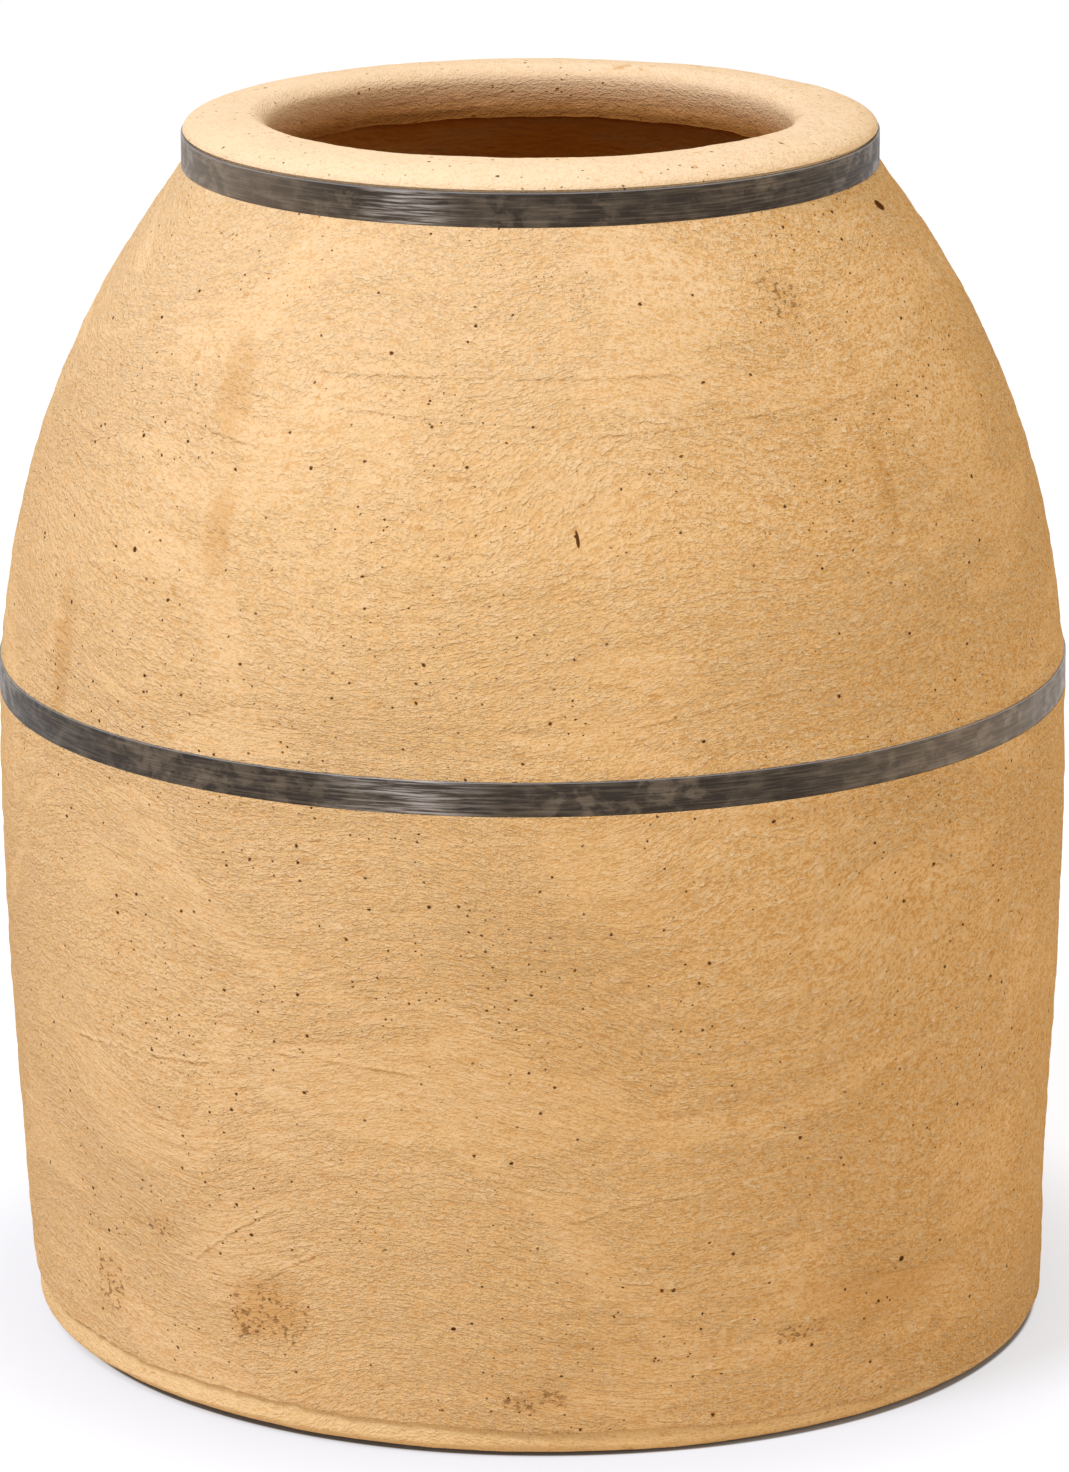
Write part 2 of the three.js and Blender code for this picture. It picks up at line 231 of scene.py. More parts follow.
class TandoorStudio(bpy.types.PropertyGroup):
    """Camera."""

    camera_distance: length_setting("Camera distance", "From the pot's axis to the camera, level", 4.309)
    camera_height: length_setting("Camera height", "Height of the camera above the floor", 1.522)
    camera_pitch: angle_setting("Camera pitch", "How far the camera looks down", 15.14)
    camera_roll: angle_setting("Camera roll", "How far the camera leans to the right", 0.25)
    focal_length: FloatProperty(
        name="Focal length", description="Of the lens, in millimetres", default=177.58
    )


# ------------------------------------------------------------------ form of the pot
def outer_radius(sizes, z):
    """Radius of the turned wall, before any relief: two power curves that meet at the belly."""
    lower_bow, shoulder_bow = 1.5, 2.53
    if z <= sizes.belly_height:
        down = (sizes.belly_height - z) / sizes.belly_height
        return sizes.belly_radius - sizes.foot_draw_in * down**lower_bow
    ledge = NECK_HOOP_LOW.z - FIT
    up = (z - sizes.belly_height) / (ledge - sizes.belly_height)
    return sizes.belly_radius - (sizes.belly_radius - sizes.shoulder_radius) * up**shoulder_bow


def inner_radius(sizes, z):
    """Radius of the wall's inside: the wall thins upwards and is measured square to its slope."""
    ledge = NECK_HOOP_LOW.z - FIT
    share = (z - SLAB_SHOULDER) / (ledge - SLAB_SHOULDER)
    thickness = sizes.foot_wall + (sizes.neck_wall - sizes.foot_wall) * share
    step = 0.001
    slope = (outer_radius(sizes, z + step) - outer_radius(sizes, z - step)) / (2 * step)
    return outer_radius(sizes, z) - thickness * math.hypot(1, slope)


class Outline(list):
    """Points (radius, height) of an outline to turn around the axis, added stretch by stretch."""

    def __init__(self, radius, height):
        super().__init__([(radius, height)])

    def join(self, points):
        """Adds points, the first only where the outline isn't there yet."""
        there = math.dist(self[-1], points[0]) < 1e-9
        self += points[1:] if there else points
        return self

    def to(self, radius, height, row):
        """A straight stretch, its points about a row apart."""
        x, y = self[-1]
        count = max(1, round(math.dist((x, y), (radius, height)) / row))
        return self.join(
            [(x + (radius - x) * i / count, y + (height - y) * i / count) for i in range(1, count + 1)]
        )

    def wall(self, radius_at, sizes, low, high, row):
        """The pot's wall from one height to another."""
        count = max(1, round(abs(high - low) / row))
        heights = [low + (high - low) * i / count for i in range(count + 1)]
        return self.join([(radius_at(sizes, z), z) for z in heights])

    def arc(self, centre, half_width, half_height, start, end, row=ROUND_ROW, power=2.0):
        """An arc, its angles in degrees from the outward direction. Above a power of 2 it is fuller."""
        swept = math.radians(abs(end - start))
        count = max(4, round(swept * (half_width + half_height) / 2 / row))

        def full(share):
            return math.copysign(abs(share) ** (2 / power), share)

        points = []
        for i in range(count + 1):
            angle = math.radians(start + (end - start) * i / count)
            x = centre[0] + half_width * full(math.cos(angle))
            points.append((x, centre[1] + half_height * full(math.sin(angle))))
        return self.join(points)


# ------------------------------------------------------------------ modelling helpers
def select_only(*pieces):
    """Selects these objects alone and makes the first one active."""
    bpy.ops.object.select_all(action="DESELECT")
    for piece in pieces:
        piece.select_set(True)
    bpy.context.view_layer.objects.active = pieces[0]


def edit(piece):
    select_only(piece)
    bpy.ops.object.mode_set(mode="EDIT")
    bpy.ops.mesh.select_all(action="SELECT")


def leave_edit():
    bpy.ops.object.mode_set(mode="OBJECT")


def clean(piece):
    """Merges doubles and turns the faces outwards."""
    edit(piece)
    bpy.ops.mesh.remove_doubles(threshold=1e-6)
    bpy.ops.mesh.normals_make_consistent(inside=False)
    leave_edit()


def draw(name, points):
    """Draws a line through points (x, y, z) by extruding a single vertex along them."""
    bpy.ops.object.select_all(action="DESELECT")
    bpy.ops.mesh.primitive_plane_add(size=0.001)
    piece = bpy.context.object
    piece.name = name
    piece.data.name = name
    bpy.ops.object.mode_set(mode="EDIT")
    bpy.ops.mesh.merge(type="CENTER")
    bpy.ops.transform.translate(value=points[0])
    for before, after in zip(points, points[1:]):
        move = Vector(after) - Vector(before)
        bpy.ops.mesh.extrude_region_move(TRANSFORM_OT_translate={"value": move})
    leave_edit()
    return piece


def apply(piece, kind, **settings):
    """Adds a modifier of a kind, sets it and applies it."""
    select_only(piece)
    modifier = piece.modifiers.new(kind.title(), kind)
    for name, value in settings.items():
        setattr(modifier, name, value)
    bpy.ops.object.modifier_apply(modifier=modifier.name)


def lathe(name, outline, sides):
    """Turns an outline of (radius, height) points around the pot's axis."""
    piece = draw(name, [(radius, 0, z) for radius, z in outline])
    whole = {"axis": "Z", "angle": 2 * math.pi, "screw_offset": 0, "steps": sides, "render_steps": sides}
    apply(piece, "SCREW", use_merge_vertices=True, merge_threshold=0.00002, **whole)
    clean(piece)
    return piece


def settle(piece):
    """Moves the object's place and turn into its mesh."""
    select_only(piece)
    bpy.ops.object.transform_apply(location=True, rotation=True, scale=True)


def put(piece, place, *turn):
    """Turns a piece by angles about X, Y and Z and moves it to its place."""
    piece.rotation_euler = turn
    piece.location = place
    settle(piece)


def cut(piece, *tools):
    """Cuts tools out of a piece and deletes them."""
    for tool in tools:
        apply(piece, "BOOLEAN", object=tool, operation="DIFFERENCE", solver="EXACT")
        bpy.data.objects.remove(tool)


def finish_piece(piece, body, slot, nodes, *materials, smooth_angle=40):
    """Shades a piece, gives it its materials and ties it to the frame."""
    select_only(piece)
    bpy.ops.object.shade_smooth_by_angle(angle=math.radians(smooth_angle))
    piece.data.materials.clear()
    for material in materials:
        piece.data.materials.append(material)
    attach(piece, body)
    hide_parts(*nodes)


def set_inside_faces(piece, is_smoked):
    """Gives the faces whose middle passes a test the piece's second material."""
    for face in piece.data.polygons:
        face.material_index = int(is_smoked(face.center))


# ------------------------------------------------------------------ node helpers
class Wire:
    """A value in a node tree, reckoned with like a number, each step a node."""

    def __init__(self, sketch, socket):
        self.sketch = sketch
        self.socket = socket

    def __add__(self, other):
        return self.sketch.math("ADD", self, other)

    def __sub__(self, other):
        return self.sketch.math("SUBTRACT", self, other)

    def __rsub__(self, other):
        return self.sketch.math("SUBTRACT", other, self)

    def __mul__(self, other):
        return self.sketch.math("MULTIPLY", self, other)

    def __abs__(self):
        return self.sketch.math("ABSOLUTE", self)

    def ramp(self, low=0.0, high=1.0, start=0.0, end=1.0):
        """Maps low..high smoothly to start..end."""
        inputs = {0: self, 1: low, 2: high, 3: start, 4: end}
        return self.sketch.node("ShaderNodeMapRange", inputs, interpolation_type="SMOOTHSTEP")

    def mixed(self, share, colour):
        """This colour with a share of another."""
        return self.sketch.mix(share, self, colour)

    def other(self, output):
        """Another output of the same node."""
        return Wire(self.sketch, self.socket.node.outputs[output])

    def parts(self):
        """A vector's X, Y and Z."""
        made = self.sketch.node("ShaderNodeSeparateXYZ", {0: self})
        return [made.other(axis) for axis in "XYZ"]

    def stretch(self, x, y, z):
        return self.sketch.node("ShaderNodeVectorMath", {0: self, 1: (x, y, z)}, operation="MULTIPLY")

    def moved(self, offset):
        return self.sketch.node("ShaderNodeVectorMath", {0: self, 1: offset}, operation="ADD")

    def scaled(self, amount):
        return self.sketch.node("ShaderNodeVectorMath", {0: self, "Scale": amount}, operation="SCALE")

    def reach(self):
        """A place's distance from the pot's axis."""
        flat = self.stretch(1, 1, 0)
        return self.sketch.node("ShaderNodeVectorMath", {0: flat}, operation="LENGTH").other("Value")


class Sketch:
    """Adds nodes to a tree one after another, for materials and for modelled relief alike."""

    def __init__(self, tree):
        self.tree = tree
        self.tree.nodes.clear()
        self.count = 0

    def node(self, kind, inputs=None, output=0, **settings):
        """Adds a node, sets its settings and inputs, and gives the wire from one of its outputs."""
        made = self.tree.nodes.new(kind)
        made.location = (190 * (self.count // 4), -260 * (self.count % 4))
        self.count += 1
        for name, value in settings.items():
            setattr(made, name, value)
        for name, value in (inputs or {}).items():
            self.feed(made.inputs[name], value)
        return Wire(self, made.outputs[output]) if made.outputs else None

    def feed(self, socket, value):
        if isinstance(value, Wire):
            self.tree.links.new(value.socket, socket)
        else:
            socket.default_value = (*value, 1.0) if isinstance(value, Color) else value

    def math(self, operation, a, b=0.0):
        return self.node("ShaderNodeMath", {0: a, 1: b}, operation=operation)

    def most(self, a, b):
        return self.math("MAXIMUM", a, b)

    def total(self, *parts):
        """The sum of (value, weight) pairs."""
        total = 0.0
        for value, weight in parts:
            total = self.node("ShaderNodeMath", {0: value, 1: weight, 2: total}, operation="MULTIPLY_ADD")
        return total

    def combine(self, x, y, z):
        return self.node("ShaderNodeCombineXYZ", {0: x, 1: y, 2: z})

    def noise(self, place, scale, detail=2.0, roughness=0.5, distortion=0.0, flat=1):
        """Noise with so many spots to the metre, and that many times flatter than wide."""
        if flat != 1:
            place = place.stretch(1, 1, flat)
        inputs = {"Vector": place, "Scale": scale, "Detail": detail}
        inputs.update({"Roughness": roughness, "Distortion": distortion})
        return self.node("ShaderNodeTexNoise", inputs)

    def attribute(self, name):
        return self.node("ShaderNodeAttribute", output="Fac", attribute_name=name)

    def mix(self, share, a, b):
        return self.node("ShaderNodeMix", {0: share, 6: a, 7: b}, 2, data_type="RGBA")


# ------------------------------------------------------------------ clay relief, modelled
def skin_depth(sketch, place):
    """How deep the skin lies below the turned form, from 0 to 1: swells, lumps, wipe marks and wrinkles."""
    swells = sketch.noise(place, 7.0, 1.0)
    lumps = sketch.noise(place, 22.0, flat=2.4)
    wipes = sketch.noise(place, 13.0, distortion=0.4, flat=6)
    wrinkles = sketch.noise(place, 60.0, roughness=0.6, flat=2)
    return sketch.total(
        (swells.ramp(0.25, 0.75), 0.30),
        (lumps.ramp(0.28, 0.72), 0.18),
        (wipes.ramp(0.28, 0.72), 0.32),
        (wrinkles.ramp(0.25, 0.75), 0.20),
    )


def laid_flat(place):
    """Distance around the pot from the front, and height."""
    x, y, z = place.parts()
    return place.sketch.math("ARCTAN2", x, y * -1.0) * UNROLL_RADIUS, z


def within_mark(sketch, flat, angle, height, half_width, half_height, turn):
    """Place within a mark, counted in its half sizes along and across it."""
    right = flat[0] - math.radians(angle) * UNROLL_RADIUS
    above = flat[1] - height
    cosine, sine = math.cos(math.radians(turn)), math.sin(math.radians(turn))
    x = sketch.total((right, cosine / half_width), (above, sine / half_width))
    y = sketch.total((right, -sine / half_height), (above, cosine / half_height))
    return x, y


def ovals(sketch, flat, marks):
    """1 in the middle of the marks' ovals, falling to 0 at their edges and -1 outside."""
    found = -1.0
    for mark in marks:
        x, y = within_mark(sketch, flat, *mark)
        found = sketch.most(found, 1.0 - sketch.total((x, x), (y, y)))
    return found


def swipe_arcs(sketch, flat):
    """Distance from the centre of the arcs that show most, and how much they show, from 0 to 1."""
    distance, shown = 0.0, 0.0
    for angle, height, oval in SWIPES:
        x, y = within_mark(sketch, flat, angle, height, 1.0, 1.0, 0)
        from_centre = sketch.math("SQRT", sketch.total((x, x), (y, y)))
        here = sketch.most(ovals(sketch, flat, [oval]), 0.0)
        more = sketch.math("GREATER_THAN", here, shown)
        distance = sketch.total((more, from_centre - distance), (distance, 1.0))
        shown = sketch.most(here, shown)
    return distance, shown


def trowel_lines(sketch, flat):
    """Signed distance to the trowel line that is near, and how near it is, from 0 to 1."""
    distance, nearness = 0.0, 0.0
    for angle, height, half_length, turn, bow in TROWEL_LINES:
        x, y = within_mark(sketch, flat, angle, height, half_length, 1.0, turn)
        y = sketch.total((x * x, bow), (y, 1.0))
        ends = abs(x).ramp(0.6, 1.0, 1.0, 0.0)
        near = abs(y).ramp(LINE_NEAR, LINE_FAR, 1.0, 0.0) * ends
        nearer = sketch.math("GREATER_THAN", near, nearness)
        distance = sketch.total((nearer, y - distance), (distance, 1.0))
        nearness = sketch.most(near, nearness)
    return distance, nearness


def press_skin(piece, depth, waver=None, calm=(), marked=False):
    """Sinks a clay piece's skin by its relief, and lets an edge waver if asked, by a node modifier.

    The relief is calm near the given heights. The traces of stains, pits and trowel are kept as attributes
    for the clay's material.
    """
    tree = bpy.data.node_groups.new(piece.name + "_relief", "GeometryNodeTree")
    for way in ("INPUT", "OUTPUT"):
        tree.interface.new_socket("Geometry", in_out=way, socket_type="NodeSocketGeometry")
    sketch = Sketch(tree)
    skin = sketch.node("NodeGroupInput")
    place = sketch.node("GeometryNodeInputPosition")
    normal = sketch.node("GeometryNodeInputNormal")
    sunk = skin_depth(sketch, place) * -depth
    height = place.parts()[2]
    for level in calm:
        sunk = sunk * abs(height - level).ramp(CALM_NEAR, CALM_FAR, CALM_SHARE, 1.0)
    offset = normal.scaled(sunk)
    if waver:
        offset = offset.moved(waver(sketch, place))
    skin = sketch.node("GeometryNodeSetPosition", {"Geometry": skin, "Offset": offset})
    if marked:
        flat = laid_flat(place)
        distance, nearness = trowel_lines(sketch, flat)
        swipe, shown = swipe_arcs(sketch, flat)
        for name, value in (
            ("stain", ovals(sketch, flat, STAINS)),
            ("pitted", ovals(sketch, flat, PITTED_PATCHES)),
            ("trowel_distance", distance),
            ("trowel_nearness", nearness),
            ("swipe_distance", swipe),
            ("swipe_shown", shown),
        ):
            inputs = {"Geometry": skin, "Name": name, "Value": value}
            skin = sketch.node("GeometryNodeStoreNamedAttribute", inputs, data_type="FLOAT", domain="POINT")
    sketch.node("NodeGroupOutput", {0: skin})
    apply(piece, "NODES", node_group=tree)
    bpy.data.node_groups.remove(tree)


def foot_spread(x, z):
    """How far the foot spreads to +X, low down on that side."""
    side = x.ramp(0.3 * SLAB_HIGH.x, SLAB_HIGH.x, 0.0, FOOT_SPREAD)
    return side * z.ramp(0.02, FOOT_SPREAD_TOP, 1.0, 0.0)


def seam_waver(sketch, place):
    """Shift of the skirt's edge: its seam falls to the right and is ragged, and the foot spreads there."""
    x, _, z = place.parts()
    tilt = x * (-SEAM_TILT / LOWER_HIGH.x)
    slow = (sketch.noise(place, 16.0) - 0.5) * 0.008
    ragged = (sketch.noise(place, 95.0, 3.0, flat=0) - 0.5) * 0.0050
    near = z.ramp(LOWER_LOW.z, LOWER_LOW.z + SEAM_FADE, 1.0, 0.0)
    return sketch.combine(foot_spread(x, z), 0.0, (tilt + slow + ragged) * near)


def ring_waver(sketch, place):
    """Shift of the lip: luted by hand inside, its crest lower at the back, swollen over the hoop's edge."""
    _, y, z = place.parts()
    near = z.ramp(RING_LOW.z, RING_LOW.z + 0.012, 1.0, 0.0)
    luted = (sketch.noise(place, 30.0, 3.0) - 0.5) * 0.004 * near
    sag = z.ramp(NECK_HOOP_HIGH.z, RING_HIGH.z) * y.ramp(-RING_HIGH.x, RING_HIGH.x, 0.0, -RIM_SAG)
    rise = sketch.combine(0.0, 0.0, luted + sag)
    level = z - NECK_HOOP_HIGH.z
    edge = place.reach().ramp(RING_HIGH.x - 0.010, RING_HIGH.x - 0.003)
    swell = level.ramp(0.0004, 0.0018) * level.ramp(0.002, 0.011, 1.0, 0.0) * edge
    share = LIP_SWELL / RING_HIGH.x
    return rise.moved(place.stretch(share, share, 0).scaled(swell))


def foot_waver(sketch, place):
    """Shift of the slab's lower edge: worn rounder at -X, sharper at +X, where the foot spreads."""
    x, _, z = place.parts()
    edge = place.reach().ramp(SLAB_HIGH.x - 0.030, SLAB_HIGH.x - 0.004)
    low = z.ramp(0.0, 0.020, 1.0, 0.0)
    worn = x.ramp(-SLAB_HIGH.x, 0.6 * SLAB_HIGH.x, FOOT_WEAR, 0.0)
    sharp = x.ramp(0.0, SLAB_HIGH.x, 0.0, -0.6)
    rise = sketch.total((z, sharp), (worn, 1.0)) * low
    return sketch.combine(foot_spread(x, z), 0.0, rise).scaled(edge)


# ------------------------------------------------------------------ materials
def new_material(name):
    """A new material, the sketch of its nodes and the place on the object."""
    material = bpy.data.materials.new(name)
    material.use_nodes = True
    sketch = Sketch(material.node_tree)
    return material, sketch, sketch.node("ShaderNodeTexCoord", output="Object")


def finish_material(sketch, colour, roughness, height, depth, **inputs):
    """Ends a material: colour and roughness, and a bump of a real depth in metres."""
    bump = sketch.node("ShaderNodeBump", {"Height": height, "Distance": depth, "Strength": 1.0})
    look = {"Base Color": colour, "Roughness": roughness, "Normal": bump}
    look.update({name.replace("_", " "): value for name, value in inputs.items()})
    shader = sketch.node("ShaderNodeBsdfPrincipled", look)
    sketch.node("ShaderNodeOutputMaterial", {"Surface": shader})


def pores(sketch, place, per_metre, radius, share):
    """1 at the middle of scattered holes and 0 around them, for holes up to a radius in metres."""
    distance = sketch.node("ShaderNodeTexVoronoi", {"Vector": place, "Scale": per_metre})
    random = sketch.node("ShaderNodeSeparateColor", {0: distance.other("Color")})
    chosen = sketch.math("LESS_THAN", random, share)
    size = random.other(1).ramp(0.0, 1.0, 0.45, 1.0)
    away = sketch.math("DIVIDE", distance, size * (radius * per_metre))
    return away.ramp(0.45, 1.05, 1.0, 0.0) * chosen


def clay_material(name, colours, base, grain=1.0, pitting=1.0, marked=True, darkened=False):
    """Dry clay, wiped and trowelled by hand: wrinkles, smooth patches, trowel edges, pores and stains, with
    painted light and shade in its colour.

    The relief adds up in millimetres.
    """
    material, sketch, place = new_material(name)
    noise, total = sketch.noise, sketch.total
    pale_clay, ochre = colours.pale_clay, colours.ochre
    waver = noise(place, 4.0, 1.0)
    bent = place.moved(sketch.combine(0.0, 0.0, waver * 0.14))

    smooth = noise(bent, 8.0, 3.0, 0.6, 0.6, flat=1.7).ramp(0.50, 0.62)
    rough = smooth.ramp(0.0, 1.0, grain, grain * 0.45)
    grit = noise(place, 620.0, 1.0, flat=1.5)
    wrinkles = noise(bent, 240.0, 2.0, 0.65, flat=2.5)
    folds = noise(bent, 90.0, 2.0, 0.6, 0.5, flat=3)
    crumbs = noise(bent, 380.0, flat=1.6).ramp(0.46, 0.64)
    scabs = noise(bent, 120.0, 3.0, 0.65, flat=2.6).ramp(0.51, 0.60)
    wiping = noise(place, 6.0, 1.0).ramp(0.40, 0.62, 0.35, 1.0)
    strokes = noise(bent, 14.0, 3.0, 0.6, 0.3, flat=10)
    brushed = noise(bent, 42.0, 3.0, 0.65, 0.2, flat=9)
    edges = sketch.math("FRACT", noise(bent, 5.0, 4.0, 0.55, flat=1.8) * 9.0)
    torn = noise(place, 11.0, 1.0).ramp(0.45, 0.60)

    ragged = noise(place, 700.0, 1.0).other("Color").moved((-0.5, -0.5, -0.5))
    ragged = ragged.stretch(0.0016, 0.0016, 0.0016)
    holed = place.stretch(1, 1, 1.15).moved(ragged)
    large = pores(sketch, holed, 75.0, 0.0016, 1.0)
    small = pores(sketch, holed, 170.0, 0.0010, 0.9)
    clusters = noise(place, 12.0).ramp(0.42, 0.60, 0.1, 1.0)

    fray = noise(place, 130.0, 3.0, 0.6) - 0.5
    stains, pitted, dents, lines, swipes = 0.0, 0.0, 0.0, 0.0, 0.0
    if marked:
        swipe = sketch.combine(sketch.attribute("swipe_distance"), waver, 0.0)
        swipes = noise(swipe.stretch(1, 0.05, 1), 110.0, 3.0, 0.6)
        swipes = swipes * sketch.attribute("swipe_shown").ramp(0.0, 0.6)
        stains = total((sketch.attribute("stain"), 1.0), (fray, 1.6)).ramp(0.0, 0.9)
        pitted = total((sketch.attribute("pitted"), 1.2), (fray, 3.0)).ramp()
        pocked = total((noise(place, 270.0, flat=1.3), 1.0), (pitted, -0.12))
        pocked = pocked.ramp(0.26, 0.34, 0.55, 0.0) * pitted
        dents = total((ovals(sketch, laid_flat(place), DARK_DENTS), 1.0), (fray, 1.0)).ramp(0.0, 0.5)
        away = total((sketch.attribute("trowel_distance"), 1.0), (fray, 0.0035))
        lines = abs(away).ramp(0.0, 0.0022, 1.0, 0.0)
        lines = lines * (noise(place, 45.0).ramp(0.38, 0.52) * sketch.attribute("trowel_nearness"))
        dents = sketch.most(dents, pocked)
    holes = sketch.most(large, small * clusters)
    holes = sketch.most(holes * pitting, dents)

    height = total(
        (wrinkles * rough, 0.85),
        (folds * rough, 1.2),
        (crumbs * rough, 0.34),
        (scabs * rough, 0.48),
        (grit, 0.50),
        (strokes * wiping, 1.3 * grain),
        (brushed * wiping, 1.0 * grain),
        (smooth, 0.14),
        (edges * torn, 0.45 * grain),
        (lines, 0.9),
        (swipes, 1.1),
        (holes, -0.55),
    )

    tint = noise(place, 5.5, 3.0, 0.6).ramp(0.35, 0.70, 0.0, 0.12)
    colour = sketch.mix(tint, base, ochre)
    chalk = noise(bent, 26.0, 4.0, flat=2).ramp(0.42, 0.70, 0.0, 0.10)
    colour = colour.mixed(chalk + smooth * 0.04, pale_clay)
    x, _, z = place.parts()
    # Painted light: the clay is paler towards -X, the side the key lamp lights.
    colour = colour.mixed(x.ramp(-0.30, 0.06, 0.24, 0.0), pale_clay)
    # Painted light: paler up the shoulder, where light from above falls, less so towards +X.
    colour = colour.mixed(z.ramp(0.50, 0.70, 0.0, 0.26) * x.ramp(0.02, 0.18, 1.0, 0.2), pale_clay)
    # Painted shade: more ochre towards +X, the shaded side.
    colour = colour.mixed(x.ramp(0.06, 0.30, 0.0, 0.06), ochre)
    crest = total((wrinkles, 0.35), (crumbs, 0.10), (scabs, 0.10), (folds, 0.15), (grit, 0.30))
    # Painted highlight and shade of the relief: raised grains paler, hollows more ochre, nearly twice as
    # strong towards +X, where the lamps bring out the relief less.
    painted_relief_boost = x.ramp(-0.02, 0.24, 1.0, 1.9)
    crest_highlight = crest.ramp(0.50, 0.62, 0.0, 0.30 * grain) * painted_relief_boost
    hollow_shade = crest.ramp(0.34, 0.46, 0.45 * grain, 0.0) * painted_relief_boost
    colour = colour.mixed(crest_highlight, pale_clay).mixed(hollow_shade, ochre)
    for trace, strength in ((stains, 0.36), (pitted, 0.24)):
        colour = colour.mixed(sketch.math("MULTIPLY", trace, strength), ochre)
    flecks = noise(place, 75.0, 3.0, 0.6, flat=2).ramp(0.64, 0.72)
    colour = colour.mixed(flecks * 0.48, ochre).mixed(holes * 0.96, colours.pit)
    if darkened:
        # Inside the mouth, within a reach from the axis, the clay is darker brown below a height: the
        # inside colour first, then the deep brown lower down.
        inside = place.reach().ramp(INSIDE_DARK_REACH, INSIDE_DARK_REACH + 0.004, 1.0, 0.0)
        level = total((z, 1.0), (fray, 0.006))
        colour = colour.mixed(inside * level.ramp(INSIDE_DARK_LOW, INSIDE_DARK_HIGH, 0.9, 0.0), colours.inside)
        colour = colour.mixed(inside * level.ramp(INSIDE_DARK_LOW, INSIDE_DARK_LOW + 0.018, 0.8, 0.0), colours.deep_brown)
    finish_material(sketch, colour, 0.92, height, 0.001, Specular_IOR_Level=0.0)
    return material


def dark_inside_clay(name, colours):
    """Clay inside the oven, smooth and dark brown."""
    material, sketch, place = new_material(name)
    shade = sketch.noise(place, 14.0, 3.0, flat=5).ramp(0.35, 0.70, 0.0, 0.60)
    colour = sketch.mix(shade, colours.inside, colours.ochre)
    grain = sketch.noise(place, 120.0, 3.0, flat=2.5)
    finish_material(sketch, colour, 0.85, grain, 0.0014)
    return material


def hoop_material(name, colours, high, shine, paler_side):
    """Hot-rolled strip: mottled mill scale, fine rolling lines and a painted highlight along the upper
    edge.

    A painted reflection, paler streaks of sheen, lies around one angle from the front, the shine, in
    degrees.
    The steel is paler towards +X than -X where the paler side is 1, or the other way round where it is -1.
    """
    material, sketch, place = new_material(name)
    along, height = laid_flat(place)
    blotches = sketch.noise(place, 60.0, 4.0, 0.65, 0.3, flat=1.6)
    clouds = sketch.noise(place, 9.0, flat=0.3)
    lines = sketch.noise(place, 30.0, 4.0, 0.6, flat=26)
    # Painted reflection: the steel is paler and streaked around the shine's angle.
    painted_shine = abs(along - math.radians(shine) * UNROLL_RADIUS).ramp(0.0, 0.055, 1.0, 0.0)
    rubbed = blotches.ramp(0.44, 0.62, 0.0, 0.32) * clouds.ramp(0.42, 0.58, 0.30, 0.85)
    # Paler towards +X or -X, as the paler side says.
    sides = (place.parts()[0] * (paler_side / high.x)).ramp(0.40, 0.90, 0.02, 0.36)
    streaks = lines.ramp(0.42, 0.68)
    painted_shine_streaks = streaks * painted_shine
    # Rubbed scale, paler sides and rolling lines, together with the painted shine.
    rubbed = sketch.total((rubbed, 1.0), (sides, 1.0), (streaks, 0.22), (painted_shine_streaks, 0.7), (painted_shine, 0.07))
    colour = sketch.mix(rubbed, colours.steel, colours.rubbed_and_sheen_steel)
    colour = colour.mixed(painted_shine_streaks * 0.42, colours.highlight_steel)
    # Painted highlight along the upper edge, where the bevel catches the light.
    edge = height.ramp(high.z - 0.0007, high.z - 0.0003, 0.0, 0.35)
    colour = colour.mixed(edge, colours.highlight_steel)
    roughness = blotches.ramp(0.35, 0.70, 0.50, 0.34)
    surface = lines * 0.4 + blotches
    finish_material(sketch, colour, roughness, surface, 0.00012, Metallic=0.5, Specular_IOR_Level=0.20)
    return material


def iron_material(name, colours):
    """Round bar, scaled and rusted by the fire."""
    material, sketch, place = new_material(name)
    scale = sketch.noise(place, 160.0, 4.0, 0.65)
    rusted = sketch.noise(place, 38.0, 3.0).ramp(0.45, 0.68, 0.0, 0.6)
    colour = sketch.mix(rusted, colours.iron, colours.rust)
    finish_material(sketch, colour, 0.8, scale, 0.0006, Metallic=0.5)
    return material


def seen_white(sketch, soft, white, *rays):
    """Shows a white shader to the camera and to more kinds of rays, and a soft one to the rest."""
    path = sketch.node("ShaderNodeLightPath")
    seen = path.other("Is Camera Ray")
    for ray in rays:
        seen = sketch.most(seen, path.other(ray))
    return sketch.node("ShaderNodeMixShader", {0: seen, 1: soft, 2: white})


